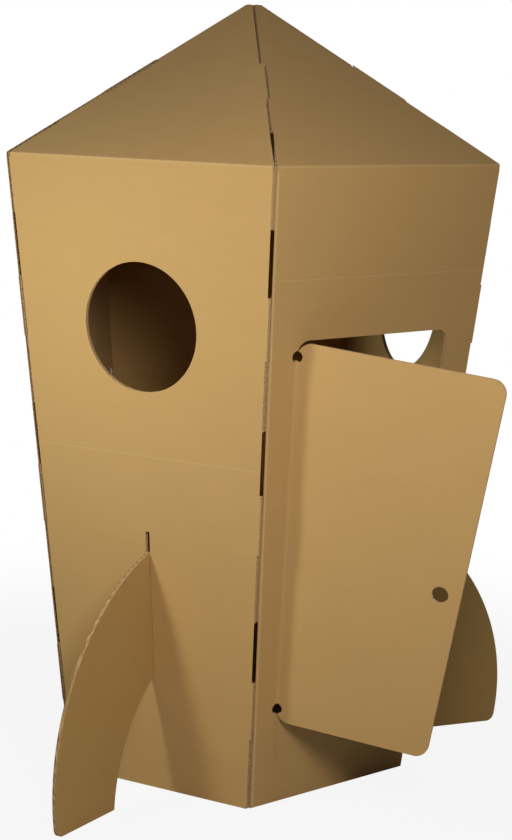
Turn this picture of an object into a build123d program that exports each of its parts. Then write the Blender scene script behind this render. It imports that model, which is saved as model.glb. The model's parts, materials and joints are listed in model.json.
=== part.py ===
from build123d import *
import os
from math import atan2, cos, degrees, hypot, radians, sin, sqrt, tan

# Cardboard rocket playhouse.
# Five slotted board panels stand in a ring and lean outward. Each one is a wall
# and a roof gore in one sheet, folded at the eaves. Tabs on the edges of
# neighbouring panels interlock down every seam and up every roof ridge. The front
# panel carries a door that is cut on three sides and swings on its crease. The
# panels on each side of it have a round window and a fin hooked into a slot.
# Frame: millimetres, +Z up, floor at z = 0, origin on the axis of the ring.
# The door wall faces -Y.

# The panels in order round the ring, seen from above, from the door wall on
panel_names = ["door_panel", "right_panel", "rear_right_panel", "rear_left_panel", "left_panel"]
fin_names = {"right_panel": "right_fin", "left_panel": "left_fin"}

# Overall sizes
base_side = 384.0         # length of one wall at the floor
eaves_side = 540.0        # length of one wall at the eaves
eaves_height = 1129.0     # height of the fold between wall and roof
roof_rise = 278.0         # height of the sharp roof point above the eaves
board = 7.0               # double-wall corrugated board
fold_radius = 5.0         # outside of the fold at the eaves
tip_cut = 15.0            # cut off each gore's point, measured down its slope

# Tabs down a wall seam, from the eaves. Right tabs stand on the right edge of a
# panel and left tabs on the left edge of the next. The open gap above a right tab
# is the play that the tab slides down through.
first_left_tab = 104.5
seam_gap = 112.5
seam_right_tab = 107.0
seam_left_tab = 121.0
seam_repeats = 3

# Tabs up a roof ridge, from the eaves. The last left tab runs on to the point.
ridge_gap = 107.0
ridge_left_tab = 101.0
ridge_right_tab = 113.0

tab_proud = 3.0           # how far a tab stands out past its neighbour's face
tab_corner = 2.5
tab_clearance = 0.5       # between a tab and the board beside it
eaves_notch = 8.0         # height of the notch at each wall's top corners

# Door, measured across from the middle of the door wall and up it from its foot
crease_foot = -144.4
crease_head = -180.6
door_right_foot = 131.0
door_right_head = 183.0
door_foot = 157.0
door_head = 841.5
door_corner = 25.0
door_kerf = 0.8           # gap on the three free edges
crease_gap = 0.3          # gap along the crease
door_open = 61.5          # angle that the door stands open at
relief_hole = 20.0        # hole at each end of the crease
finger_hole = 29.0
finger_hole_inset = 37.0  # from the free edge to the middle of the hole
finger_hole_rise = 300.0  # from the foot of the door to the middle of the hole

# Round windows
window_diameter = 227.0
window_rise = 847.0       # from the foot of the wall to the middle of the window

# Fins, measured out from the foot of the wall and up it
fin_toe = 303.0           # outer end of the foot, before its rounding
fin_heel = 137.0          # inner end of the foot
fin_outer_radius = 385.0
fin_inner_radius = 280.5
fin_toe_corner = 17.0
slot_foot = 216.0         # lower end of the slot, which carries the fin
slot_length = 267.0
slot_play = 38.0          # open slot above a fin that is pushed down
hook_drop = 33.0          # how far the hook reaches down behind the wall
hook_depth = 32.0         # how far the hook reaches in behind the wall
hook_corner = 12.0
fin_clearance = 0.3       # between the fin and the faces that it seats on
slot_side_clearance = 0.7  # between the fin and each side of the slot

# Angles and lengths that follow from the sizes above
wall_count = len(panel_names)
turn = 360 / wall_count
base_apothem = base_side / 2 / tan(radians(turn / 2))
eaves_apothem = eaves_side / 2 / tan(radians(turn / 2))
wall_lean = atan2(eaves_apothem - base_apothem, eaves_height)
wall_slant = hypot(eaves_apothem - base_apothem, eaves_height)
roof_slope = atan2(roof_rise, eaves_apothem)
roof_slant = hypot(roof_rise, eaves_apothem)
seam_tilt = atan2((eaves_side - base_side) / 2, wall_slant)
ridge_tilt = atan2(eaves_side / 2, roof_slant)
seam_length = wall_slant / cos(seam_tilt)
ridge_length = roof_slant / cos(ridge_tilt)
crease_tilt = atan2(crease_foot - crease_head, door_head - door_foot)


def edge_inset(normal_rise):
    """How far a panel's edge stands back from a seam to clear its neighbour's board.

    normal_rise is the angle of the panel's face normal above or below the horizontal.
    """
    facing = cos(normal_rise) ** 2 * cos(radians(turn)) + sin(normal_rise) ** 2
    return (board + tab_clearance) / sqrt(1 - facing**2)


wall_inset = edge_inset(wall_lean)
roof_inset = edge_inset(radians(90) - roof_slope)


def around(number, x, y, z):
    """A point or direction of the door wall, carried round to another wall."""
    return Vector(x, y, z).rotate(Axis.Z, turn * number)


def wall_plane(number):
    """Outer face of a wall: x across it, y up its slope from the floor."""
    return Plane(
        origin=around(number, 0, -base_apothem, 0),
        x_dir=around(number, 1, 0, 0),
        z_dir=around(number, 0, -cos(wall_lean), -sin(wall_lean)),
    )


def roof_plane(number):
    """Outer face of a roof gore: x across it, y up its slope from the eaves."""
    return Plane(
        origin=around(number, 0, -eaves_apothem, eaves_height),
        x_dir=around(number, 1, 0, 0),
        z_dir=around(number, 0, -sin(roof_slope), cos(roof_slope)),
    )


def fin_plane(number):
    """Middle of a fin: x out from the axis, y up from the floor."""
    return Plane(
        origin=(0, 0, 0),
        x_dir=around(number, 0, -1, 0),
        z_dir=around(number, -1, 0, 0),
    )


def notches_between(tabs, run_start, run_end):
    """The stretches of an edge that its tabs leave free, as (start, end)."""
    starts = [run_start] + [end for _, end in tabs]
    ends = [start for start, _ in tabs] + [run_end]
    return [(start, end) for start, end in zip(starts, ends) if end > start]


def cut_notches(corner, heading, side, notches, inset):
    """Cut an edge back from tab_proud outside the seam to inset inside it.

    The seam starts at corner and runs at the angle heading. side is 1 where the
    panel's outside lies to the left of that run and -1 where it lies to the right.
    """
    depth = inset + 3 * tab_proud
    for start, end in notches:
        middle = (start + end) / 2
        with Locations(Location((*corner, 0), (0, 0, heading))):
            with Locations((middle, side * (depth / 2 - inset))):
                Rectangle(end - start + tab_clearance, depth, mode=Mode.SUBTRACT)


def round_tabs(shape, corner, heading, side, run_end):
    """Round the free corners of the tabs along one edge of a flat panel."""
    seam = Plane(Location((*corner, 0), (0, 0, heading)))
    free = []
    for vertex in shape.vertices():
        place = seam.to_local_coords(Vector(*vertex))
        proud = abs(place.Y - side * tab_proud) < tab_clearance
        if proud and tab_clearance < place.X < run_end:
            free.append(vertex)
    fillet(free, radius=tab_corner)


def wall_blank():
    """Flat wall with tabs on both edges, run on below the floor to be cut level."""
    pitch = seam_gap + seam_right_tab + seam_left_tab
    foot_run = seam_length + board
    left_tabs = [(eaves_notch, first_left_tab)]
    right_tabs = []
    for repeat in range(seam_repeats):
        right_start = first_left_tab + seam_gap + pitch * repeat
        right_end = right_start + seam_right_tab
        right_tabs.append((right_start, right_end))
        left_tabs.append((right_end, right_end + seam_left_tab))
    left_tabs[-1] = (left_tabs[-1][0], foot_run)
    edge = tab_proud / cos(seam_tilt)
    foot_half = base_side / 2 - board * tan(seam_tilt) + edge
    corner_half = eaves_side / 2 - roof_inset / cos(ridge_tilt)
    tilt = degrees(seam_tilt)
    with BuildSketch() as blank:
        with BuildLine():
            Polyline(
                (-foot_half, -board),
                (foot_half, -board),
                (eaves_side / 2 + edge, wall_slant),
                (-eaves_side / 2 - edge, wall_slant),
                close=True,
            )
        make_face()
        right = ((eaves_side / 2, wall_slant), -90 - tilt, 1)
        left = ((-eaves_side / 2, wall_slant), tilt - 90, -1)
        for (corner, heading, side), tabs in ((right, right_tabs), (left, left_tabs)):
            notches = notches_between(tabs, 0, foot_run)
            cut_notches(corner, heading, side, notches, wall_inset)
            with Locations((side * corner_half, wall_slant)):
                Rectangle(
                    eaves_side / 2,
                    2 * eaves_notch,
                    align=(Align.MIN if side > 0 else Align.MAX, Align.CENTER),
                    mode=Mode.SUBTRACT,
                )
            round_tabs(blank.sketch, corner, heading, side, seam_length)
    return blank.sketch


def gore_blank():
    """Flat roof gore with tabs on both edges and its point cut off."""
    left_end = ridge_gap + ridge_left_tab
    right_tabs = [(left_end, left_end + ridge_right_tab)]
    left_tabs = [(ridge_gap, left_end), (right_tabs[0][1], ridge_length)]
    edge = tab_proud / cos(ridge_tilt)
    peak = roof_slant + tab_proud / sin(ridge_tilt)
    tilt = degrees(ridge_tilt)
    with BuildSketch() as blank:
        with BuildLine():
            Polyline(
                (-eaves_side / 2 - edge, 0), (eaves_side / 2 + edge, 0), (0, peak), close=True
            )
        make_face()
        with Locations((0, roof_slant - tip_cut)):
            Rectangle(
                eaves_side, eaves_side, align=(Align.CENTER, Align.MIN), mode=Mode.SUBTRACT
            )
        right = ((eaves_side / 2, 0), 90 + tilt, -1)
        left = ((-eaves_side / 2, 0), 90 - tilt, 1)
        for (corner, heading, side), tabs in ((right, right_tabs), (left, left_tabs)):
            notches = notches_between(tabs, -board, ridge_length)
            cut_notches(corner, heading, side, notches, roof_inset)
            round_tabs(blank.sketch, corner, heading, side, ridge_length - 2 * tip_cut)
    return blank.sketch


def door_corners(kerf, hinge_gap):
    """Corners of the door on the door wall, inset by its gaps, from its lower left."""
    side_tilt = atan2(door_right_head - door_right_foot, door_head - door_foot)
    corners = []
    for height in (door_foot + kerf, door_head - kerf):
        rise = height - door_foot
        left = crease_foot - rise * tan(crease_tilt) + hinge_gap / cos(crease_tilt)
        right = door_right_foot + rise * tan(side_tilt) - kerf / cos(side_tilt)
        corners.append(((left, height), (right, height)))
    (low_left, low_right), (high_left, high_right) = corners
    return [low_left, low_right, high_right, high_left]


def door_outline(kerf, hinge_gap):
    """Door outline with rounded corners, on the door wall's plane."""
    with BuildSketch() as outline:
        with BuildLine():
            Polyline(*door_corners(kerf, hinge_gap), close=True)
        make_face()
        fillet(outline.vertices(), radius=door_corner - kerf)
    return outline.sketch


def relief_places():
    """Middles of the two holes where the rounded corners run into the crease."""
    places = []
    for foot, sense in ((door_foot, 1), (door_head, -1)):
        corner_angle = radians(90) + sense * crease_tilt
        run = sense * door_corner / tan(corner_angle / 2)
        height = foot + run * cos(crease_tilt)
        places.append((crease_foot - (height - door_foot) * tan(crease_tilt), height))
    return places


def fin_blank():
    """Flat fin with the hook that goes through its wall, on the fin's plane."""

    def beside_wall(rise, out):
        """Place at a run up the wall's slope, and out from its outer face."""
        reach = base_apothem + rise * sin(wall_lean) + out * cos(wall_lean)
        return reach, rise * cos(wall_lean) - out * sin(wall_lean)

    seat = slot_foot + fin_clearance
    head = slot_foot + slot_length - slot_play
    hook_foot = slot_foot - hook_drop
    behind = -board - fin_clearance
    deep = behind - hook_depth
    toe = (base_apothem + fin_toe, 0)
    heel = (base_apothem + fin_heel, 0)
    underside = beside_wall(seat, fin_clearance)
    with BuildSketch() as blank:
        with BuildLine():
            RadiusArc(beside_wall(head, fin_clearance), toe, fin_outer_radius)
            Line(toe, heel)
            RadiusArc(heel, underside, -fin_inner_radius)
            Polyline(
                underside,
                beside_wall(seat, behind),
                beside_wall(hook_foot, behind),
                beside_wall(hook_foot, deep),
                beside_wall(head, deep),
                beside_wall(head, fin_clearance),
            )
        make_face()
        fillet(blank.vertices().sort_by_distance(toe)[0], radius=fin_toe_corner)
        fillet(blank.vertices().sort_by_distance(beside_wall(head, deep))[0], radius=hook_corner)
        fillet(
            blank.vertices().sort_by_distance(beside_wall(hook_foot, deep))[0],
            radius=hook_corner,
        )
    return blank.sketch


os.makedirs("parts", exist_ok=True)

# Folded panels
for number, name in enumerate(panel_names):
    with BuildPart() as panel:
        with BuildSketch(wall_plane(number)):
            add(wall_blank())
            if name == "door_panel":
                add(door_outline(0, 0), mode=Mode.SUBTRACT)
                with Locations(*relief_places()):
                    Circle(relief_hole / 2, mode=Mode.SUBTRACT)
            if name in fin_names:
                with Locations((0, window_rise)):
                    Circle(window_diameter / 2, mode=Mode.SUBTRACT)
                with Locations((0, slot_foot + slot_length / 2)):
                    Rectangle(board + 2 * slot_side_clearance, slot_length, mode=Mode.SUBTRACT)
        extrude(amount=-board)
        with BuildSketch(roof_plane(number)):
            add(gore_blank())
        extrude(amount=-board)
        fold = panel.edges().sort_by_distance(roof_plane(number).origin)[0]
        fillet(fold, radius=fold_radius)
        split(bisect_by=Plane.XY, keep=Keep.TOP)
    panel.part.label = name
    export_step(panel.part, f"parts/{name}.step")

# Door, drawn on the door wall's plane after that plane has swung out on the crease.
# The crease is taken downward, so that a positive turn about it opens the door.
door_wall = wall_plane(0)
crease_top = door_wall.from_local_coords(Vector(crease_head, door_head, 0))
crease_bottom = door_wall.from_local_coords(Vector(crease_foot, door_foot, 0))
crease = Axis(origin=crease_bottom, direction=crease_bottom - crease_top)
door_plane = Plane(
    origin=crease_bottom,
    x_dir=door_wall.x_dir.rotate(crease, door_open),
    z_dir=door_wall.z_dir.rotate(crease, door_open),
)
with BuildPart() as door:
    with BuildSketch(door_plane):
        with Locations((-crease_foot, -door_foot)):
            add(door_outline(door_kerf, crease_gap))
            with Locations(*relief_places()):
                Circle(relief_hole / 2, mode=Mode.SUBTRACT)
        side_tilt = atan2(door_right_head - door_right_foot, door_head - door_foot)
        hole_across = door_right_foot + finger_hole_rise * tan(side_tilt)
        with Locations((hole_across - finger_hole_inset - crease_foot, finger_hole_rise)):
            Circle(finger_hole / 2, mode=Mode.SUBTRACT)
    extrude(amount=-board)
door.part.label = "door"
export_step(door.part, "parts/door.step")

# Fins, each hooked through the slot in the middle of its wall
for wall_name, fin_name in fin_names.items():
    with BuildPart() as fin:
        with BuildSketch(fin_plane(panel_names.index(wall_name))):
            add(fin_blank())
        extrude(amount=board / 2, both=True)
    fin.part.label = fin_name
    export_step(fin.part, f"parts/{fin_name}.step")
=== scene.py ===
import json
import logging
from collections.abc import Callable, Iterable, Iterator
from dataclasses import dataclass, field
from enum import Enum
from functools import partial
from itertools import product
from math import atan2, cos, hypot, pi, radians, sin, tan

import bmesh
import bpy
from bmesh.types import BMesh, BMFace, BMVert
from bpy.types import Material, Node, NodeOutputs, NodeSocket, NodeTree, Object
from mathutils import Matrix, Vector


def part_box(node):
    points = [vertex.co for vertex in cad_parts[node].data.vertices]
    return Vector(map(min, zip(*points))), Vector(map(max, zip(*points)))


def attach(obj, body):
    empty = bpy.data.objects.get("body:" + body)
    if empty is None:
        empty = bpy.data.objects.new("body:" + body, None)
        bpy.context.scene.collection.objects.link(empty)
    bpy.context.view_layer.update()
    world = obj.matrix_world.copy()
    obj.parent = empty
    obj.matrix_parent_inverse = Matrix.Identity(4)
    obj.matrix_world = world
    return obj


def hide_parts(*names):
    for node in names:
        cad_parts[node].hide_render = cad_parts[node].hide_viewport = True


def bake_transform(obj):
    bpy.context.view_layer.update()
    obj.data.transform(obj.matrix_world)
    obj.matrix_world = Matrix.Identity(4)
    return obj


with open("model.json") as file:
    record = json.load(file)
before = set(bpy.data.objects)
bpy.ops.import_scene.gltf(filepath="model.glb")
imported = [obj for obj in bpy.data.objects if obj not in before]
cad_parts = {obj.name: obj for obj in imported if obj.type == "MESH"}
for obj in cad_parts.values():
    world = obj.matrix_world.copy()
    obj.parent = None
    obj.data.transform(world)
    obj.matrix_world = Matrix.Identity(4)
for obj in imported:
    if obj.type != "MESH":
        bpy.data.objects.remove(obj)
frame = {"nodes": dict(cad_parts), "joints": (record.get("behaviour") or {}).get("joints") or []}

log = logging.getLogger("rocket_playhouse")

BOARD_MAP = "board"       # point attribute: across the sheet, up it and in from its face
Colour = tuple[float, float, float]


@dataclass(frozen=True)
class Face:
    """Outer face of a flat stretch of board, with directions across it and up it."""

    origin: Vector
    across: Vector
    up: Vector

    @property
    def out(self) -> Vector:
        """Direction away from the board."""
        return self.across.cross(self.up)

    def place(self, across: float, up: float, depth: float = 0.0) -> Vector:
        """Point this far across the face, up it and into the board."""
        return self.origin + self.across * across + self.up * up - self.out * depth

    def read(self, point: Vector) -> Vector:
        """How far a point lies across the face, up it and into the board."""
        offset = point - self.origin
        return Vector((offset.dot(self.across), offset.dot(self.up), -offset.dot(self.out)))

    def turned(self, pivot: Vector, turn: Matrix) -> "Face":
        """The face after a turn round a pivot."""
        origin = pivot + turn @ (self.origin - pivot)
        return Face(origin, turn @ self.across, turn @ self.up)


@dataclass(frozen=True)
class Ring:
    """Five-sided ring of leaning walls under a pointed roof, in metres."""

    walls: int = 5
    base_side: float = 0.384
    eaves_side: float = 0.540
    eaves_height: float = 1.129
    roof_rise: float = 0.278
    tab_proud: float = 0.003       # of the solids' tabs, past the seam
    wall_inset: float = 0.0079     # of the notches in the walls' edges, from the seam
    gore_inset: float = 0.0114

    @property
    def turn(self) -> float:
        """Angle from one wall to the next."""
        return 2 * pi / self.walls

    @property
    def base_apothem(self) -> float:
        """Distance from the axis to the foot of a wall."""
        return self.base_side / 2 / tan(self.turn / 2)

    @property
    def eaves_apothem(self) -> float:
        """Distance from the axis to the eaves."""
        return self.eaves_side / 2 / tan(self.turn / 2)

    @property
    def lean(self) -> float:
        """Angle of a wall from the vertical."""
        return atan2(self.eaves_apothem - self.base_apothem, self.eaves_height)

    @property
    def slope(self) -> float:
        """Angle of the roof from the horizontal."""
        return atan2(self.roof_rise, self.eaves_apothem)

    @property
    def wall_slant(self) -> float:
        """Length of a wall up its slope."""
        return hypot(self.eaves_apothem - self.base_apothem, self.eaves_height)

    @property
    def roof_slant(self) -> float:
        """Length of a gore up its slope."""
        return hypot(self.roof_rise, self.eaves_apothem)

    def edge(self, on_gore: bool, away: float) -> tuple[float, float, float]:
        """Finds where the seam of a sheet runs.

        Args:
            on_gore: whether the place is on the roof gore.
            away: distance from the eaves.

        Returns:
            Half the sheet's width there, the seam's tilt and the inset of its notches.
        """
        if on_gore:
            tilt = atan2(self.eaves_side / 2, self.roof_slant)
            return (self.roof_slant - away) * tan(tilt), tilt, self.gore_inset
        tilt = atan2((self.eaves_side - self.base_side) / 2, self.wall_slant)
        return self.eaves_side / 2 - away * tan(tilt), tilt, self.wall_inset

    def round_to(self, number: int) -> Matrix:
        """The turn that carries the door wall to wall number, counted to the right."""
        return Matrix.Rotation(self.turn * number, 3, "Z")

    def carried(self, number: int, origin: Vector, up: Vector) -> Face:
        """A face on the door's side, carried round to wall number."""
        turn = self.round_to(number)
        return Face(turn @ origin, turn @ Vector((1, 0, 0)), turn @ up)

    def wall(self, number: int) -> Face:
        """Outer face of a wall, from the middle of its foot."""
        up = Vector((0, -sin(self.lean), cos(self.lean)))
        return self.carried(number, Vector((0, -self.base_apothem, 0)), up)

    def gore(self, number: int) -> Face:
        """Outer face of a roof gore, from the middle of its eaves."""
        up = Vector((0, cos(self.slope), sin(self.slope)))
        return self.carried(number, Vector((0, -self.eaves_apothem, self.eaves_height)), up)

    def radial(self, number: int, half_board: float) -> Face:
        """Outer face of a board that stands out from the middle of a wall."""
        out, across = (self.round_to(number) @ Vector(way) for way in ((-1, 0, 0), (0, -1, 0)))
        return Face(out * half_board, across, Vector((0, 0, 1)))


@dataclass(frozen=True)
class Stretch:
    """One stretch of a panel's edge, and how far short of the seam its parts stand."""

    end: float                     # distance from the eaves at which it ends
    notch: float
    tab: float
    undercut: float | None = None  # of the inner face, where the notch is open


@dataclass(frozen=True)
class Edge:
    """One edge of a wall or a gore, as its paper really stands at the seam."""

    side: int                      # 1 for the right edge, -1 for the left
    on_gore: bool
    stretches: tuple[Stretch, ...]
    breaks: tuple[float, ...] = ()  # distances from the eaves where an open notch begins or ends

    def place(self, ring: Ring, point: Vector, thickness: float) -> float:
        """Finds where a point of the solid's edge really stands.

        Args:
            ring: the ring that the panel is in.
            point: the point on its sheet, across it, up from its fold and in from its face.
            thickness: thickness of the board.

        Returns:
            Its distance across the sheet.
        """
        away = abs(point.y)
        half, tilt, inset = ring.edge(self.on_gore, away)
        short = (half - self.side * point.x) * cos(tilt)
        stretch = next(each for each in self.stretches if away <= each.end)
        notch = stretch.notch
        if stretch.undercut is not None and point.z > thickness / 2:
            notch = stretch.undercut
        share = (inset - short) / (inset + ring.tab_proud)
        return self.side * (half - (notch + (stretch.tab - notch) * share) / cos(tilt))


class Layer(Enum):
    """The papers of double-wall board, from its outer face in."""

    OUTER_LINER = "outer liner"
    OUTER_FLUTES = "outer flutes"
    MIDDLE_LINER = "middle liner"
    INNER_FLUTES = "inner flutes"
    INNER_LINER = "inner liner"


FACING_LAYERS = (Layer.OUTER_LINER, Layer.INNER_LINER)
CORE_LAYERS = (Layer.OUTER_FLUTES, Layer.MIDDLE_LINER, Layer.INNER_FLUTES)


@dataclass(frozen=True)
class Board:
    """Double-wall corrugated board, in metres."""

    thickness: float = 0.007
    liner: float = 0.00045
    medium: float = 0.0003
    outer_pitch: float = 0.0088
    inner_pitch: float = 0.0062
    outer_share: float = 0.56      # of the room between the liners, for the outer flutes
    glue_gap: float = 0.00003      # left where a flute's tip meets a liner
    skin: float = 0.0001           # how far a liner is drawn past the face before it is trimmed
    steps: int = 10                # stations along one flute

    @property
    def middle(self) -> float:
        """Depth of the middle liner's centre."""
        room = self.thickness - 2 * self.liner
        return self.liner + room * self.outer_share

    def flutes(self, layer: Layer) -> tuple[float, float, float]:
        """Sizes of a layer of flutes.

        Args:
            layer: one of the two layers of flutes.

        Returns:
            Depth of its middle, half its height between the medium's centres, and its pitch.
        """
        middle_half = self.liner / 2
        if layer is Layer.OUTER_FLUTES:
            top, foot, pitch = self.liner, self.middle - middle_half, self.outer_pitch
        else:
            top, foot = self.middle + middle_half, self.thickness - self.liner
            pitch = self.inner_pitch
        height = (foot - top) / 2 - self.medium / 2 - self.glue_gap
        return (top + foot) / 2, height, pitch

    def band(self, layer: Layer, run: float) -> tuple[float, float]:
        """Depths between which a layer lies.

        Args:
            layer: the paper.
            run: distance along the sheet, across the flutes.

        Returns:
            Depth of its outer side and of its inner side.
        """
        if layer is Layer.OUTER_LINER:
            return -self.skin, self.liner
        if layer is Layer.INNER_LINER:
            return self.thickness - self.liner, self.thickness + self.skin
        if layer is Layer.MIDDLE_LINER:
            return self.middle - self.liner / 2, self.middle + self.liner / 2
        middle, height, pitch = self.flutes(layer)
        phase = 2 * pi * run / pitch
        slope = height * 2 * pi / pitch * sin(phase)
        half = self.medium / 2 * hypot(1, slope)
        depth = middle + height * cos(phase)
        return depth - half, depth + half


@dataclass(frozen=True)
class FoldedSheet:
    """A wall and its roof gore in one sheet. Its run is counted up from the fold."""

    wall: Face
    gore: Face
    wall_slant: float
    roof_slant: float
    half_width: float
    fold_radius: float = 0.005
    least_radius: float = 0.0008
    fold_reach: float = 0.04       # over which the layers shift to turn the fold
    margin: float = 0.012          # drawn past the ends of the sheet

    @property
    def across(self) -> Vector:
        """Direction of the flutes."""
        return self.wall.across

    @property
    def outs(self) -> tuple[Vector, ...]:
        """Directions that its flat stretches face."""
        return self.wall.out, self.gore.out

    @property
    def ends(self) -> tuple[float, float]:
        """Run of the lower and the upper end."""
        return -self.wall_slant - self.margin, self.roof_slant + self.margin

    @property
    def half_turn(self) -> float:
        """Half of the angle that the sheet turns through at its fold."""
        return self.wall.up.angle(self.gore.up) / 2

    @property
    def bends(self) -> tuple[float, ...]:
        """Runs at which a flat paper needs a station to follow the fold."""
        steps = 8
        near = self.fold_radius * tan(self.half_turn)
        turn = (near * (2 * step / steps - 1) for step in range(steps + 1))
        return -self.fold_reach, *turn, self.fold_reach

    def place(self, run: float, depth: float) -> Vector:
        """Finds a point in the middle of the sheet's width.

        Args:
            run: distance up from the fold, negative on the wall.
            depth: distance in from the outer face.

        Returns:
            The point.
        """
        soft = max(self.fold_radius - depth, self.least_radius) * tan(self.half_turn)
        fade = (self.fold_reach - abs(run)) / (self.fold_reach - soft)
        shift = depth * tan(self.half_turn) * min(max(fade, 0.0), 1.0)
        if run <= -soft:
            return self.wall.place(0, self.wall_slant + run - shift, depth)
        if run >= soft:
            return self.gore.place(0, run + shift, depth)
        start = self.wall.place(0, self.wall_slant - soft - shift, depth)
        end = self.gore.place(0, soft + shift, depth)
        corner = self.wall.place(0, self.wall_slant - shift, depth)
        part = (run + soft) / (2 * soft)
        return start.lerp(corner, part).lerp(corner.lerp(end, part), part)

    def read(self, point: Vector) -> Vector:
        """Measures a point of the sheet.

        Args:
            point: the point.

        Returns:
            How far it lies across the sheet, up from its fold and in from its face.
        """
        if (point - self.gore.origin).dot(self.wall.up + self.gore.up) > 0:
            return self.gore.read(point)
        return self.wall.read(point) - Vector((0, self.wall_slant, 0))


@dataclass(frozen=True)
class FlatSheet:
    """A flat piece of board. Its run is counted across its flutes, from zero."""

    face: Face
    flute_angle: float             # of the flutes, from the face's own direction across
    ends: tuple[float, float]
    half_width: float
    zero: float = 0.0              # of the run, up the face
    bends: tuple[float, ...] = ()  # a flat sheet has no fold

    @property
    def across(self) -> Vector:
        """Direction of the flutes."""
        return self.face.across * cos(self.flute_angle) + self.face.up * sin(self.flute_angle)

    @property
    def outs(self) -> tuple[Vector, ...]:
        """Directions that its flat stretches face."""
        return (self.face.out,)

    @property
    def along(self) -> Vector:
        """Direction of the run."""
        return self.face.out.cross(self.across)

    @property
    def start(self) -> Vector:
        """Point of the face from which the run is counted."""
        return self.face.place(0, self.zero)

    def place(self, run: float, depth: float) -> Vector:
        """Finds a point at a run across the flutes and a depth in from the face."""
        return self.start + self.along * run - self.face.out * depth

    def read(self, point: Vector) -> Vector:
        """How far a point lies along the flutes, across them and in from the face."""
        offset = point - self.start
        return Vector([offset.dot(way) for way in (self.across, self.along, -self.face.out)])


Sheet = FoldedSheet | FlatSheet


@dataclass
class NodeWorks:
    """Short ways to add nodes and sums to a shader tree."""

    tree: NodeTree

    def add(
        self, kind: str, inputs: dict[str | int, object] | None = None, **settings: object
    ) -> Node:
        """Adds a node.

        Args:
            kind: the node's type.
            inputs: what its inputs are fed, by name or number.
            **settings: properties of the node, by name.

        Returns:
            The node.
        """
        node = self.tree.nodes.new(kind)
        for name, value in settings.items():
            setattr(node, name, value)
        for name, value in (inputs or {}).items():
            self.feed(node.inputs[name], value)
        return node

    def feed(self, target: NodeSocket, value: object) -> None:
        """Sets a socket, or links it where the value is a socket itself.

        Args:
            target: an input socket.
            value: a number, colour or vector, or the output socket to link.
        """
        if isinstance(value, NodeSocket):
            self.tree.links.new(value, target)
        else:
            target.default_value = value

    def sum(self, operation: str, *values: object, clamp: bool = False) -> NodeSocket:
        """Result of a Math node, which clamp keeps between 0 and 1."""
        inputs = dict(enumerate(values))
        return self.add("ShaderNodeMath", inputs, operation=operation, use_clamp=clamp).outputs[0]

    def vector(self, operation: str, *values: object) -> NodeSocket:
        """Result of a Vector Math node: a number where the operation gives one."""
        node = self.add("ShaderNodeVectorMath", dict(enumerate(values)), operation=operation)
        return node.outputs["Value" if operation in ("DOT_PRODUCT", "LENGTH") else "Vector"]

    def scaled(self, value: object, amount: object) -> NodeSocket:
        """Multiplies a vector or a colour by a number."""
        inputs = {0: value, "Scale": amount}
        return self.add("ShaderNodeVectorMath", inputs, operation="SCALE").outputs["Vector"]

    def noise(self, place: object, size: float, **values: float) -> NodeSocket:
        """Noise from 0 to 1 in patches of this size, with Detail and so on as values."""
        inputs = {"Vector": place, "Scale": 1 / size, **values}
        return self.add("ShaderNodeTexNoise", inputs).outputs[0]

    def spread(self, value: object, low: float, high: float) -> NodeSocket:
        """Maps a number smoothly so that low gives 0 and high gives 1.

        Args:
            value: the number.
            low: what gives 0.
            high: what gives 1.

        Returns:
            The mapped number.
        """
        inputs = {"Value": value, "From Min": low, "From Max": high}
        node = self.add("ShaderNodeMapRange", inputs, interpolation_type="SMOOTHSTEP")
        return node.outputs["Result"]

    def blend(self, amount: object, one: object, two: object) -> NodeSocket:
        """Mixes two colours.

        Args:
            amount: how much of the second is used.
            one: the first colour.
            two: the second colour.

        Returns:
            The mixed colour.
        """
        node = self.add("ShaderNodeMix", data_type="RGBA")
        for name, value in (("Factor_Float", amount), ("A_Color", one), ("B_Color", two)):
            self.feed(next(each for each in node.inputs if each.identifier == name), value)
        return next(each for each in node.outputs if each.identifier == "Result_Color")


class Effect:
    """A shader group that the papers share. It is built once and then found by name."""

    name = ""
    takes: tuple[tuple[str, str, object], ...] = ()
    gives: tuple[tuple[str, str], ...] = ()

    @classmethod
    def tree(cls) -> NodeTree:
        """Finds the group, or builds it the first time.

        Returns:
            The group's tree.
        """
        made = bpy.data.node_groups.get(cls.name)
        if made:
            return made
        made = bpy.data.node_groups.new(cls.name, "ShaderNodeTree")
        for name, kind, value in cls.takes:
            socket = made.interface.new_socket(
                name, in_out="INPUT", socket_type="NodeSocket" + kind
            )
            if value is not None:
                socket.default_value = value
        for name, kind in cls.gives:
            made.interface.new_socket(name, in_out="OUTPUT", socket_type="NodeSocket" + kind)
        works = NodeWorks(made)
        start = works.add("NodeGroupInput")
        works.add("NodeGroupOutput", cls.build(works, start.outputs))
        return made

    @classmethod
    def placed(cls, works: NodeWorks, **values: object) -> NodeOutputs:
        """Places the group in a material's tree, and gives its outputs."""
        return works.add("ShaderNodeGroup", values, node_tree=cls.tree()).outputs

    @classmethod
    def build(cls, works: NodeWorks, taken: NodeOutputs) -> dict[str, object]:
        """Adds the group's nodes, and gives its outputs by name."""
        raise NotImplementedError


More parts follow.
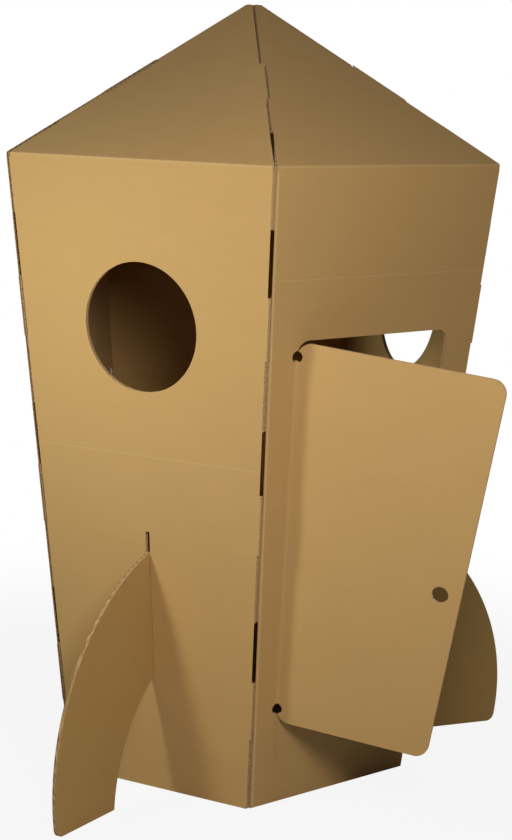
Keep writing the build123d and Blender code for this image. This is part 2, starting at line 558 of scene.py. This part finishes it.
class PaperGrain(Effect):
    """Fibres, specks and soft clouds of tone in brown paper. Its sizes are in metres."""

    name = "paper_grain"
    takes = (
        ("Board", "Vector", None),
        ("Colour", "Color", (0.6, 0.37, 0.14, 1)),
        ("Clouds", "Float", 0.08),
        ("Fibres", "Float", 0.10),
    )
    gives = (("Colour", "Color"), ("Height", "Float"), ("Roughness", "Float"))
    cloud_size = 0.11
    band_size = 0.035
    band_stretch = (0.35, 1.0, 1.0)      # along the flutes
    fibre_size = 0.0011
    fibre_stretch = (0.5, 1.0, 1.0)
    fibre_height = 0.00004
    speck_size = 0.0016
    speck_range = (0.66, 0.74)           # of the noise, from no speck to a full one
    speck_shade = -0.05
    roughness = 0.82
    fibre_roughness = 0.2

    @classmethod
    def build(cls, works: NodeWorks, taken: NodeOutputs) -> dict[str, object]:
        """Adds the group's nodes.

        Args:
            works: the group's tree.
            taken: the group's inputs.

        Returns:
            The group's outputs by name.
        """
        place = taken["Board"]
        clouds = works.noise(place, cls.cloud_size, Detail=3.0, Roughness=0.55)
        drift = works.vector("MULTIPLY", place, cls.band_stretch)
        bands = works.noise(drift, cls.band_size, Detail=2.0)
        stretched = works.vector("MULTIPLY", place, cls.fibre_stretch)
        fibres = works.noise(stretched, cls.fibre_size, Detail=3.0, Roughness=0.7, Distortion=0.6)
        specks = works.spread(works.noise(place, cls.speck_size, Detail=1.0), *cls.speck_range)
        cloud_tone = works.sum("SUBTRACT", works.sum("ADD", clouds, bands), 1.0)
        fibre_tone = works.sum("SUBTRACT", fibres, 0.5)
        tone = works.sum("MULTIPLY_ADD", cloud_tone, taken["Clouds"], 1.0)
        tone = works.sum("MULTIPLY_ADD", fibre_tone, taken["Fibres"], tone)
        tone = works.sum("MULTIPLY_ADD", specks, cls.speck_shade, tone)
        rough = works.sum("MULTIPLY_ADD", fibre_tone, cls.fibre_roughness, cls.roughness)
        return {
            "Colour": works.scaled(taken["Colour"], tone),
            "Height": works.sum("MULTIPLY", fibres, cls.fibre_height),
            "Roughness": rough,
        }


class Washboard(Effect):
    """Faint ridges where the flutes show through a liner."""

    name = "washboard"
    takes = (("Board", "Vector", None), ("Pitch", "Float", 0.0088), ("Sink", "Float", 0.00006))
    gives = (("Height", "Float"), ("Ridge", "Float"))
    patch_size = 0.02
    patch_stretch = (0.25, 1.0, 1.0)     # along the flutes
    patch_range = (0.0, 0.75)            # of the noise, from no ridges to full ones

    @classmethod
    def build(cls, works: NodeWorks, taken: NodeOutputs) -> dict[str, object]:
        """Adds the group's nodes.

        Args:
            works: the group's tree.
            taken: the group's inputs.

        Returns:
            The group's outputs by name.
        """
        split = works.add("ShaderNodeSeparateXYZ", {0: taken["Board"]})
        turns = works.sum("DIVIDE", split.outputs["Y"], taken["Pitch"])
        wave = works.sum("COSINE", works.sum("MULTIPLY", turns, 2 * pi))
        ridge = works.sum("MULTIPLY_ADD", wave, 0.5, 0.5)
        stretched = works.vector("MULTIPLY", taken["Board"], cls.patch_stretch)
        patch = works.noise(stretched, cls.patch_size, Detail=2.0)
        ridge = works.sum("MULTIPLY", ridge, works.spread(patch, *cls.patch_range))
        return {"Height": works.sum("MULTIPLY", ridge, taken["Sink"]), "Ridge": ridge}


class ScoreLine(Effect):
    """A line mask from one place on a sheet to another, for pressed lines and painted highlight
    lines.
    """

    name = "score_line"
    takes = (
        ("Board", "Vector", None),
        ("Start", "Vector", (0, 0, 0)),
        ("End", "Vector", (0, 0, 0)),
        ("Width", "Float", 0.003),
    )
    gives = (("Mask", "Float"),)

    @classmethod
    def build(cls, works: NodeWorks, taken: NodeOutputs) -> dict[str, object]:
        """Adds the group's nodes.

        Args:
            works: the group's tree.
            taken: the group's inputs.

        Returns:
            The group's outputs by name.
        """
        flat = works.vector("MULTIPLY", taken["Board"], (1.0, 1.0, 0.0))
        along = works.vector("SUBTRACT", taken["End"], taken["Start"])
        offset = works.vector("SUBTRACT", flat, taken["Start"])
        share = works.sum(
            "DIVIDE",
            works.vector("DOT_PRODUCT", offset, along),
            works.vector("DOT_PRODUCT", along, along),
            clamp=True,
        )
        foot = works.scaled(along, share)
        distance = works.vector("LENGTH", works.vector("SUBTRACT", offset, foot))
        near = works.sum("DIVIDE", distance, taken["Width"])
        return {"Mask": works.spread(near, 1.0, 0.0)}


@dataclass(frozen=True)
class Score:
    """A line on a sheet, in its own run and width: a pressed line, or a painted highlight where
    it has no depth.
    """

    start: tuple[float, float]
    end: tuple[float, float]
    width: float = 0.0028
    depth: float = 0.00035
    strength: float = 0.12
    tone: Colour = (0.22, 0.12, 0.04)


@dataclass(frozen=True)
class Paper:
    """Brown paper, matt, with flutes just showing through it, pressed lines and painted highlight
    lines.
    """

    name: str
    colour: Colour = (0.60, 0.355, 0.126)
    clouds: float = 0.05
    fibres: float = 0.05
    gloss: float = 0.25
    sheen: float = 0.0
    sink: float = 0.0              # of the paper between two flutes
    pitch: float = 0.0088
    rib_shade: float = 0.035
    rib_tone: Colour = (0.30, 0.17, 0.05)
    scores: tuple[Score, ...] = ()

    def material(self) -> Material:
        """Builds the finish.

        Returns:
            The material.
        """
        made = bpy.data.materials.new(self.name)
        made.use_nodes = True
        works = NodeWorks(made.node_tree)
        skin = made.node_tree.nodes["Principled BSDF"]
        place = works.add("ShaderNodeAttribute", attribute_name=BOARD_MAP).outputs["Vector"]
        grain = PaperGrain.placed(
            works, Board=place, Colour=(*self.colour, 1), Clouds=self.clouds, Fibres=self.fibres
        )
        colour, height = grain["Colour"], grain["Height"]
        if self.sink:
            ribs = Washboard.placed(works, Board=place, Pitch=self.pitch, Sink=self.sink)
            shade = works.sum("MULTIPLY", ribs["Ridge"], self.rib_shade)
            colour = works.blend(shade, colour, (*self.rib_tone, 1))
            height = works.sum("ADD", height, ribs["Height"])
        # each line blends its tone in; the light lines with no depth are painted highlights
        for score in self.scores:
            start, end = (*score.start, 0), (*score.end, 0)
            line = ScoreLine.placed(works, Board=place, Start=start, End=end, Width=score.width)
            height = works.sum("MULTIPLY_ADD", line["Mask"], -score.depth, height)
            strength = works.sum("MULTIPLY", line["Mask"], score.strength)
            colour = works.blend(strength, colour, (*score.tone, 1))
        bump = works.add("ShaderNodeBump", {"Distance": 1.0, "Height": height})
        for name, value in (
            ("Base Color", colour),
            ("Roughness", grain["Roughness"]),
            ("Normal", bump.outputs["Normal"]),
            ("Specular IOR Level", self.gloss),
            ("Sheen Weight", self.sheen),
        ):
            works.feed(skin.inputs[name], value)
        return made


@dataclass(frozen=True)
class Liner(Paper):
    """Kraft liner, glued over the flutes."""

    sheen: float = 0.08
    sink: float = 0.00004


@dataclass(frozen=True)
class Medium(Paper):
    """Fluting paper, rougher and a little greyer than the liners."""

    colour: Colour = (0.66, 0.44, 0.22)
    clouds: float = 0.15
    fibres: float = 0.35
    gloss: float = 0.15


def steps_between(start: float, end: float, step: float) -> Iterator[float]:
    """Walks from start to past end in equal steps."""
    for number in range(int((end - start) / step) + 2):
        yield start + number * step


def piece_from(mesh: BMesh, name: str) -> Object:
    """Turns a mesh into a piece of the scene.

    Args:
        mesh: the mesh, which is freed.
        name: the piece's name.

    Returns:
        The piece.
    """
    data = bpy.data.meshes.new(name)
    mesh.to_mesh(data)
    mesh.free()
    piece = bpy.data.objects.new(name, data)
    bpy.context.collection.objects.link(piece)
    return piece


def sweep(
    mesh: BMesh, pairs: list[tuple[Vector, Vector]], across: Vector, reach: float
) -> None:
    """Adds one closed strip of paper.

    Args:
        mesh: the mesh to add it to.
        pairs: outer and inner point of its section, in order along the run.
        across: direction that the section is swept in, both ways.
        reach: how far it is swept each way.
    """
    rows = []
    for outer, inner in pairs:
        corners = ((outer, -reach), (outer, reach), (inner, reach), (inner, -reach))
        rows.append([mesh.verts.new(point + across * side) for point, side in corners])
    for row, following in zip(rows, rows[1:]):
        for corner in range(4):
            ahead = (corner + 1) % 4
            mesh.faces.new((row[corner], row[ahead], following[ahead], following[corner]))
    mesh.faces.new(rows[0][::-1])
    mesh.faces.new(rows[-1])


def prism(name: str, section: list[Vector], foot: Vector, head: Vector) -> Object:
    """Draws a section out into a closed bar.

    Args:
        name: the piece's name.
        section: its outline, from either end.
        foot: one end.
        head: the other end.

    Returns:
        The piece.
    """
    mesh = bmesh.new()
    lower, upper = ([mesh.verts.new(end + point) for point in section] for end in (foot, head))
    for corner in range(len(section)):
        ahead = (corner + 1) % len(section)
        mesh.faces.new((lower[corner], lower[ahead], upper[ahead], upper[corner]))
    mesh.faces.new(lower)
    mesh.faces.new(upper)
    bmesh.ops.recalc_face_normals(mesh, faces=mesh.faces)
    return piece_from(mesh, name)


def slit(mesh: BMesh, faces: Iterable[BMFace], place: Vector, normal: Vector) -> None:
    """Adds corners and edges where a plane cuts some faces of a mesh."""
    parts = dict.fromkeys(part for face in faces for part in (face, *face.edges, *face.verts))
    bmesh.ops.bisect_plane(mesh, geom=list(parts), plane_co=place, plane_no=normal)


def solid_of(node: str, reshape: Callable[[BMesh], None] | None) -> Object:
    """Copies a node's solid with its corners welded.

    Args:
        node: the node's name.
        reshape: moves the copy's corners, where they are fitted.

    Returns:
        A closed mesh that isn't part of the object. The caller removes it.
    """
    weld = 2e-6
    mesh = bmesh.new()
    mesh.from_mesh(frame["nodes"][node].data)
    bmesh.ops.remove_doubles(mesh, verts=mesh.verts, dist=weld)
    if reshape:
        reshape(mesh)
    return piece_from(mesh, "cutter")


def settle(piece: Object, sheet: Sheet) -> None:
    """Applies a piece's modifiers, maps it and gives it smooth folds with crisp edges.

    Args:
        piece: the piece.
        sheet: the sheet that it is cut from.
    """
    crisp = radians(32)
    level = cos(radians(0.3))
    graph = bpy.context.evaluated_depsgraph_get()
    done = bpy.data.meshes.new_from_object(piece.evaluated_get(graph))
    piece.modifiers.clear()
    old = piece.data
    piece.data = done
    bpy.data.meshes.remove(old)
    done.name = piece.name
    board_map = done.attributes.new(BOARD_MAP, "FLOAT_VECTOR", "POINT")
    for vertex in done.vertices:
        board_map.data[vertex.index].vector = sheet.read(vertex.co)
    done.shade_smooth()
    done.set_sharp_from_angle(angle=crisp)
    for polygon in done.polygons:
        if any(abs(polygon.normal.dot(out)) > level for out in sheet.outs):
            polygon.use_smooth = False


@dataclass
class BoardPart:
    """One node of corrugated board: its two facings and the fluted core between them."""

    node: str
    body: str
    slot: str
    sheet: Sheet
    liner: Liner
    medium: Medium
    board: Board = field(default_factory=Board)
    reshape: Callable[[BMesh], None] | None = None

    def papers(self, name: str, layers: tuple[Layer, ...]) -> Object:
        """Builds some of the board's papers across the whole sheet.

        Args:
            name: the piece's name.
            layers: the papers to build.

        Returns:
            The piece, before it is trimmed to the node's outline.
        """
        mesh = bmesh.new()
        start, end = self.sheet.ends
        for layer in layers:
            if layer in (Layer.OUTER_FLUTES, Layer.INNER_FLUTES):
                pitch = self.board.flutes(layer)[2]
                runs = list(steps_between(start, end, pitch / self.board.steps))
            else:
                runs = [start, *self.sheet.bends, end]
            pairs = []
            for run in runs:
                outer, inner = self.board.band(layer, run)
                pairs.append((self.sheet.place(run, outer), self.sheet.place(run, inner)))
            sweep(mesh, pairs, self.sheet.across, self.sheet.half_width)
        bmesh.ops.recalc_face_normals(mesh, faces=mesh.faces)
        return piece_from(mesh, name)

    def build(self) -> list[Object]:
        """Builds, trims and dresses the node's papers.

        Returns:
            The facings and the core.
        """
        made = []
        cutter = solid_of(self.node, self.reshape)
        for ending, layers, finish in (
            ("liners", FACING_LAYERS, self.liner),
            ("flutes", CORE_LAYERS, self.medium),
        ):
            piece = self.papers(f"{self.node}_{ending}", layers)
            trim = piece.modifiers.new("trim", "BOOLEAN")
            trim.operation = "INTERSECT"
            trim.solver = "MANIFOLD"
            trim.object = cutter
            settle(piece, self.sheet)
            piece.data.materials.clear()
            piece.data.materials.append(finish.material())
            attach(piece, self.body)
            made.append(piece)
        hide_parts(self.node)
        spare = cutter.data
        bpy.data.objects.remove(cutter)
        bpy.data.meshes.remove(spare)
        return made


SEAM_PITCH = 0.3405       # from one open notch to the next, down a wall seam
REPEATS = (0, 1, 2)
NOTCH_HEAD, NOTCH_FOOT = 0.1045, 0.2170      # of the first open notch, from the eaves
BEYOND = 2.0              # past the end of every edge


def wall_edge(side: int, tab: float, turn: float, first: tuple[Stretch, Stretch]) -> Edge:
    """Repeats the first stretches of a wall's edge down its seam.

    Args:
        side: 1 for the right edge, -1 for the left.
        tab: how far short of the seam its tabs stand.
        turn: where the first open notch begins or ends.
        first: the two stretches of the first repeat.

    Returns:
        The edge.
    """
    stretches = [
        Stretch(each.end + SEAM_PITCH * repeat, each.notch, tab, each.undercut)
        for repeat in REPEATS
        for each in first
    ]
    plain = next(each for each in first if each.undercut is None)
    stretches.append(Stretch(BEYOND, plain.notch, tab))
    breaks = tuple(turn + SEAM_PITCH * repeat for repeat in REPEATS)
    return Edge(side, False, tuple(stretches), breaks)


RIGHT_TAB, LEFT_TAB = -0.0010, 0.0064
GORE_NOTCH_FOOT = 0.1070
# An end that is given as a bare number lies between two corners of the solid's edge
EDGES = (
    wall_edge(1, RIGHT_TAB, NOTCH_HEAD, (
        Stretch(NOTCH_HEAD, notch=0.0020, tab=RIGHT_TAB),
        Stretch(0.2700, notch=0.0015, tab=RIGHT_TAB, undercut=0.0110),
    )),
    wall_edge(-1, LEFT_TAB, NOTCH_FOOT, (
        Stretch(NOTCH_FOOT, notch=0.0070, tab=LEFT_TAB, undercut=0.0180),
        Stretch(0.3900, notch=0.0075, tab=LEFT_TAB),
    )),
    Edge(1, True, (
        Stretch(GORE_NOTCH_FOOT, notch=0.0003, tab=-0.0030, undercut=0.0140),
        Stretch(0.2400, notch=0.0010, tab=-0.0030),
        Stretch(BEYOND, notch=0.0044, tab=-0.0030),
    ), breaks=(GORE_NOTCH_FOOT,)),
    Edge(-1, True, (
        Stretch(0.1300, notch=0.0070, tab=0.0043, undercut=0.0180),
        Stretch(0.2400, notch=0.0090, tab=0.0043),
        Stretch(BEYOND, notch=0.0090, tab=0.0016),
    )),
)


@dataclass
class Panels:
    """The five folded panels of the ring."""

    ring: Ring
    names: tuple[str, ...] = (
        "door_panel", "right_panel", "rear_right_panel", "rear_left_panel", "left_panel"
    )
    wall_score: float = 0.513      # faint level line, this far below the eaves
    door_wall_score: float = 0.188
    crease_foot: tuple[float, float] = (-0.1444, 0.157)
    crease_mark: tuple[float, float] = (-0.1366, 0.0816)   # end of the line below the crease
    # lighter tone of the rubbed level lines, and of the painted highlights along the eaves folds
    # and the door wall's left seam
    rubbed_and_highlight: Colour = (0.86, 0.62, 0.32)
    highlight_inset: float = 0.0115     # of the painted highlight strip, from the door wall's left seam
    highlight_top: float = -0.01        # upper end of that strip, from the fold
    edges: tuple[Edge, ...] = EDGES
    eaves_reach: float = 0.0095    # of the cut corner at each end of the fold
    eaves_notch_half: float = 0.2580      # half width at which that corner begins
    eaves_halves: tuple[float, float] = (0.2614, 0.2670)   # of the fold's left and right end

    def level_line(self, below: float) -> Score:
        """Faint level line, this far below the eaves."""
        half = self.ring.eaves_side / 2
        return Score((-half, -below), (half, -below), depth=0.0001, tone=self.rubbed_and_highlight)

    def scores(self, name: str) -> tuple[Score, ...]:
        """Lists a panel's pressed lines and painted highlight lines.

        Args:
            name: the panel's name.

        Returns:
            Its lines.
        """
        half, slant = self.ring.eaves_side / 2, self.ring.wall_slant
        # painted highlight along the eaves fold: a light line with no depth
        fold = Score((-half, 0), (half, 0), 0.0035, depth=0, strength=0.30, tone=self.rubbed_and_highlight)
        if name == "left_panel":
            return fold, self.level_line(self.wall_score)
        if name != "door_panel":
            return (fold,)
        foot, mark = self.crease_foot, self.crease_mark
        # painted highlight: a light strip with no depth beside the door wall's left seam
        seam_highlight = Score(
            (self.highlight_inset - half, self.highlight_top),
            (self.highlight_inset - self.ring.base_side / 2, -slant),
            width=0.0036,
            depth=0,
            strength=0.50,
            tone=self.rubbed_and_highlight,
        )
        below_crease = Score(
            (foot[0], foot[1] - slant), (mark[0], mark[1] - slant), width=0.004, strength=0.10
        )
        return fold, seam_highlight, self.level_line(self.door_wall_score), below_crease

    def split_edge(self, edge: Edge, sheet: FoldedSheet, mesh: BMesh) -> None:
        """Adds corners where the open notches of an edge begin or end.

        Args:
            edge: the edge.
            sheet: the panel's sheet.
            mesh: the panel's solid.
        """
        step = 0.0002
        face = sheet.gore if edge.on_gore else sheet.wall
        top = 0.0 if edge.on_gore else sheet.wall_slant
        for away, shift in product(edge.breaks, (-step, step)):
            near = [
                each for each in mesh.faces
                if edge.side * sheet.read(each.calc_center_median()).x > 0
            ]
            slit(mesh, near, face.place(0, abs(top - away - shift)), face.up)

    def fit_corner(self, sheet: FoldedSheet, thickness: float, vertex: BMVert) -> None:
        """Moves one corner of a panel's solid across its sheet, where it lies on an edge.

        Args:
            sheet: the panel's sheet.
            thickness: thickness of the board.
            vertex: the corner.
        """
        slack = 0.0003
        point = sheet.read(vertex.co)
        if abs(point.y) < self.eaves_reach and abs(point.x) < self.eaves_notch_half:
            if abs(point.x) > self.eaves_notch_half - self.eaves_reach:
                left, right = self.eaves_halves
                target = right if point.x > 0 else -left
                vertex.co += sheet.across * (target - point.x)
            return
        half, tilt, inset = self.ring.edge(point.y > 0, abs(point.y))
        for edge in self.edges:
            short = (half - edge.side * point.x) * cos(tilt)
            if edge.on_gore == (point.y > 0) and short < inset + slack:
                vertex.co += sheet.across * (edge.place(self.ring, point, thickness) - point.x)
                return

    def fit(self, sheet: FoldedSheet, thickness: float, mesh: BMesh) -> None:
        """Fits the edges of a panel's solid to the seams.

        Args:
            sheet: the panel's sheet.
            thickness: thickness of the board.
            mesh: the panel's solid.
        """
        flat = radians(0.05)
        side_on = 0.99             # how nearly a flat face looks the sheet's own way
        bmesh.ops.dissolve_limit(mesh, angle_limit=flat, verts=mesh.verts, edges=mesh.edges)
        slit(mesh, mesh.faces, sheet.wall.origin, sheet.across)
        for edge in self.edges:
            self.split_edge(edge, sheet, mesh)
        mesh.normal_update()
        for vertex in mesh.verts:
            facings = (
                max(abs(face.normal.dot(out)) for out in sheet.outs)
                for face in vertex.link_faces
            )
            if any(facing < side_on for facing in facings):
                self.fit_corner(sheet, thickness, vertex)
        bmesh.ops.triangulate(mesh, faces=mesh.faces)

    def build(self) -> list[Object]:
        """Builds every panel.

        Returns:
            The pieces.
        """
        made = []
        for number, name in enumerate(self.names):
            sheet = FoldedSheet(
                wall=self.ring.wall(number),
                gore=self.ring.gore(number),
                wall_slant=self.ring.wall_slant,
                roof_slant=self.ring.roof_slant,
                half_width=self.ring.eaves_side / 2 + 2 * self.ring.tab_proud,
            )
            liner = Liner(f"{name}_liner", scores=self.scores(name))
            medium = Medium(f"{name}_medium")
            part = BoardPart(name, "shell", "panel_board", sheet, liner, medium)
            part.reshape = partial(self.fit, sheet, part.board.thickness)
            made += part.build()
        return made


@dataclass
class Door:
    """The door leaf, and the bent board of its crease."""

    ring: Ring
    joint_name: str = "door_hinge"
    colour: Colour = (0.62, 0.370, 0.132)
    margin: float = 0.01            # drawn past the ends of the leaf
    relief_foot: tuple[float, float] = (-0.1456, 0.1807)    # middles of the crease's end holes
    relief_head: tuple[float, float] = (-0.1794, 0.8178)
    relief_radius: float = 0.010
    valley_width: float = 0.004     # of the bend on each side of the crease
    valley_pull: float = 0.12       # of the bend's middle, away from the crease
    lining: float = 0.0006          # thickness of the bend's liner
    knuckle_radius: float = 0.00695
    bend_steps: int = 12

    @property
    def joint(self) -> dict:
        """The crease, as the frame gives it."""
        return next(joint for joint in frame["joints"] if joint["name"] == self.joint_name)

    @property
    def pivot(self) -> Vector:
        """Foot of the crease."""
        return Vector(self.joint["pos_m"])

    @property
    def axis(self) -> Vector:
        """Direction of the crease, downward."""
        return Vector(self.joint["axis"]).normalized()

    @property
    def opening(self) -> float:
        """Angle at which the door stands open at rest."""
        return -radians(self.joint["range_deg"][0])

    @property
    def face(self) -> Face:
        """Outer face of the leaf, as the door wall's face swung out."""
        turn = Matrix.Rotation(self.opening, 3, self.axis)
        return self.ring.wall(0).turned(self.pivot, turn)

    def build(self) -> list[Object]:
        """Builds the leaf and its crease.

        Returns:
            The pieces.
        """
        face = self.face
        slant = self.ring.wall_slant
        heights = [face.read(Vector(corner)).y for corner in product(*zip(*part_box("door")))]
        sheet = FlatSheet(
            face=face,
            flute_angle=0.0,
            ends=(min(heights) - slant - self.margin, max(heights) - slant + self.margin),
            half_width=self.ring.eaves_side / 2,
            zero=slant,
        )
        liner = Liner("door_liner", self.colour)
        medium = Medium("door_medium")
        leaf = BoardPart("door", "door_leaf", "door_board", sheet, liner, medium)
        return leaf.build() + self.crease(sheet)

    def crease(self, sheet: FlatSheet) -> list[Object]:
        """Builds the bent stretch of board between the door wall and the leaf.

        Args:
            sheet: the leaf's sheet, for the paper's own directions.

        Returns:
            The pieces.
        """
        wall, leaf, up = self.ring.wall(0), self.face, -self.axis
        start = wall.out.cross(up) * self.valley_width
        end = up.cross(leaf.out) * self.valley_width
        back = (-wall.out * self.knuckle_radius, -leaf.out * self.knuckle_radius)
        foot, head = (self.pivot + up * height for height in self.span(wall))
        made = []
        for name, section, sides in (
            ("crease_outer_liner", self.valley(wall, leaf, start, end), (start, end)),
            ("crease_core", self.knuckle(wall), back),
        ):
            piece = prism(name, section, foot, head)
            settle(piece, sheet)
            piece.data.materials.append(Liner(name, self.colour).material())
            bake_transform(piece)
            made.append(piece)
        return made

    def span(self, wall: Face) -> tuple[float, float]:
        """Finds where the crease runs between its two end holes.

        Args:
            wall: outer face of the door wall.

        Returns:
            Its lower and its upper height, from the pivot.
        """
        foot, head = (
            (wall.place(*place) - self.pivot).dot(-self.axis)
            for place in (self.relief_foot, self.relief_head)
        )
        return foot + self.relief_radius, head - self.relief_radius

    def valley(self, wall: Face, leaf: Face, start: Vector, end: Vector) -> list[Vector]:
        """Draws the outer liner where it rounds the valley of the crease.

        Args:
            wall: outer face of the door wall.
            leaf: outer face of the leaf.
            start: where the bend leaves the wall, from the crease.
            end: where it meets the leaf.

        Returns:
            Its section.
        """
        control = (start + end) * self.valley_pull
        section = []
        for step in range(self.bend_steps + 1):
            part = step / self.bend_steps
            section.append(start.lerp(control, part).lerp(control.lerp(end, part), part))
        section.append(end - leaf.out * self.lining)
        section.append((wall.out + leaf.out).normalized() * -self.lining)
        section.append(start - wall.out * self.lining)
        return section

    def knuckle(self, wall: Face) -> list[Vector]:
        """Draws the crushed board behind the crease, from the wall's edge to the leaf's.

        Args:
            wall: outer face of the door wall.

        Returns:
            Its section.
        """
        section = [Vector((0, 0, 0))]
        for step in range(self.bend_steps + 1):
            turn = Matrix.Rotation(self.opening * step / self.bend_steps, 3, self.axis)
            section.append(turn @ (-wall.out * self.knuckle_radius))
        return section


@dataclass
class Fins:
    """The two fins that hook into the walls beside the door."""

    ring: Ring
    names: tuple[tuple[str, int], ...] = (("right_fin", 1), ("left_fin", -1))
    colour: Colour = (0.51, 0.305, 0.095)
    flute_lean: float = radians(26)      # of the flutes from the vertical, in towards the axis
    ends: tuple[float, float] = (-0.75, 0.75)
    half_width: float = 0.8

    def build(self) -> list[Object]:
        """Builds both fins.

        Returns:
            The pieces.
        """
        made = []
        for name, number in self.names:
            sheet = FlatSheet(
                face=self.ring.radial(number, Board().thickness / 2),
                flute_angle=pi / 2 + self.flute_lean,
                ends=self.ends,
                half_width=self.half_width,
            )
            liner = Liner(f"{name}_liner", self.colour)
            medium = Medium(f"{name}_medium")
            made += BoardPart(name, "shell", "fin_board", sheet, liner, medium).build()
        return made


@dataclass(frozen=True)
class Lamp:
    """A soft studio lamp."""

    name: str
    place: tuple[float, float, float]
    power: float
    width: float
    height: float
    aim: tuple[float, float, float] = (0.0, -0.1, 0.7)
    colour: Colour = (1.0, 1.0, 1.0)

    def build(self) -> None:
        """Adds the lamp."""
        light = bpy.data.lights.new(self.name, "AREA")
        light.energy = self.power
        light.shape = "RECTANGLE"
        light.size, light.size_y = self.width, self.height
        light.color = self.colour
        lamp = bpy.data.objects.new(self.name, light)
        lamp.location = self.place
        heading = Vector(self.aim) - Vector(self.place)
        lamp.rotation_euler = heading.to_track_quat("-Z", "Y").to_euler()
        lamp.visible_camera = False
        bpy.context.collection.objects.link(lamp)


@dataclass
class Studio:
    """Pale floor, soft lamps and the camera."""

    ring: Ring
    lamps: tuple[Lamp, ...] = (
        Lamp("side_lamp", (-1.15, -0.08, 0.91), power=4.0, width=0.12, height=0.34,
             colour=(1.0, 1.10, 1.08)),
        Lamp("front_lamp", (-1.10, -1.68, 1.46), power=18.8, width=0.55, height=0.55),
        Lamp("rear_lamp", (1.3, 2.3, 1.7), power=14.0, width=1.2, height=1.2),
    )
    camera_place: tuple[float, float, float] = (-2.44041, -2.80692, 1.26781)
    camera_yaw: float = 0.848037
    camera_dip: float = 0.167337
    camera_roll: float = 0.029156
    lens: float = 86.70
    ambient: float = 0.02
    floor_size: float = 9.0
    floor_colour: Colour = (0.55, 0.55, 0.545)
    floor_glow: float = 0.90
    floor_fade: tuple[float, float] = (0.75, 1.9)       # distances over which it turns white

    def build(self) -> None:
        """Builds the whole studio."""
        for lamp in self.lamps:
            lamp.build()
        self.backdrop()
        self.floor()
        self.camera()
        bpy.context.scene.view_settings.view_transform = "Standard"

    def seen(self, works: NodeWorks) -> NodeSocket:
        """Tells rays that show the backdrop from rays that light the object.

        Args:
            works: the tree that asks.

        Returns:
            1 for the rays that show it and 0 for the rest.
        """
        path = works.add("ShaderNodeLightPath")
        seen = works.sum("MAXIMUM", path.outputs["Is Camera Ray"], path.outputs["Is Glossy Ray"])
        return works.sum("MAXIMUM", seen, path.outputs["Is Transmission Ray"])

    def backdrop(self) -> None:
        """Makes the world white to look at and dim as a light."""
        world = bpy.data.worlds.new("studio")
        world.use_nodes = True
        bpy.context.scene.world = world
        works = NodeWorks(world.node_tree)
        world.node_tree.nodes.clear()
        white = (1, 1, 1, 1)
        dim = works.add("ShaderNodeBackground", {"Color": white, "Strength": self.ambient})
        bright = works.add("ShaderNodeBackground", {"Color": white})
        inputs = {0: self.seen(works), 1: dim.outputs[0], 2: bright.outputs[0]}
        choice = works.add("ShaderNodeMixShader", inputs)
        works.add("ShaderNodeOutputWorld", {"Surface": choice.outputs[0]})

    def floor(self) -> None:
        """Lays the pale floor, which keeps a soft shadow and fades to white far out."""
        half = self.floor_size / 2
        data = bpy.data.meshes.new("floor")
        corners = (-half, -half, 0), (half, -half, 0), (half, half, 0), (-half, half, 0)
        data.from_pydata(corners, [], [(0, 1, 2, 3)])
        floor = bpy.data.objects.new("floor", data)
        bpy.context.collection.objects.link(floor)
        made = bpy.data.materials.new("pale_floor")
        made.use_nodes = True
        works = NodeWorks(made.node_tree)
        made.node_tree.nodes.clear()
        matt = works.add("ShaderNodeBsdfDiffuse", {"Color": (*self.floor_colour, 1)})
        glow = works.add("ShaderNodeEmission")
        place = works.add("ShaderNodeTexCoord").outputs["Object"]
        far = works.spread(works.vector("LENGTH", place), *self.floor_fade)
        share = works.sum("MULTIPLY_ADD", far, 1 - self.floor_glow, self.floor_glow)
        reach = -1.0
        for number in range(self.ring.walls):
            out = self.ring.round_to(number) @ Vector((0, -1, 0))
            reach = works.sum("MAXIMUM", works.vector("DOT_PRODUCT", place, tuple(out)), reach)
        outside = works.sum("GREATER_THAN", reach, self.ring.base_apothem - Board().thickness)
        share = works.sum("MULTIPLY", works.sum("MULTIPLY", share, outside), self.seen(works))
        inputs = {0: share, 1: matt.outputs[0], 2: glow.outputs[0]}
        choice = works.add("ShaderNodeMixShader", inputs)
        works.add("ShaderNodeOutputMaterial", {"Surface": choice.outputs[0]})
        data.materials.append(made)

    def camera(self) -> None:
        """Sets the camera where the photograph was taken from."""
        yaw, dip, roll = self.camera_yaw, self.camera_dip, self.camera_roll
        ahead = Vector((cos(dip) * cos(yaw), cos(dip) * sin(yaw), -sin(dip)))
        level = Vector((sin(yaw), -cos(yaw), 0))
        upright = level.cross(ahead)
        right = level * cos(roll) + upright * sin(roll)
        up = upright * cos(roll) - level * sin(roll)
        data = bpy.data.cameras.new("camera")
        data.lens = self.lens
        data.clip_start = 0.05
        camera = bpy.data.objects.new("camera", data)
        turn = Matrix((right, up, -ahead)).transposed()
        camera.matrix_world = Matrix.Translation(self.camera_place) @ turn.to_4x4()
        bpy.context.collection.objects.link(camera)
        bpy.context.scene.camera = camera


def main() -> None:
    """Builds the playhouse and its studio, and logs each piece's number of faces."""
    logging.basicConfig(level=logging.INFO, format="%(message)s")
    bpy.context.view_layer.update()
    ring = Ring()
    for assembly in (Panels(ring), Door(ring), Fins(ring)):
        for piece in assembly.build():
            log.info("%s: %d faces", piece.name, len(piece.data.polygons))
    Studio(ring).build()
    bpy.context.view_layer.update()


if __name__ == "__main__":
    main()
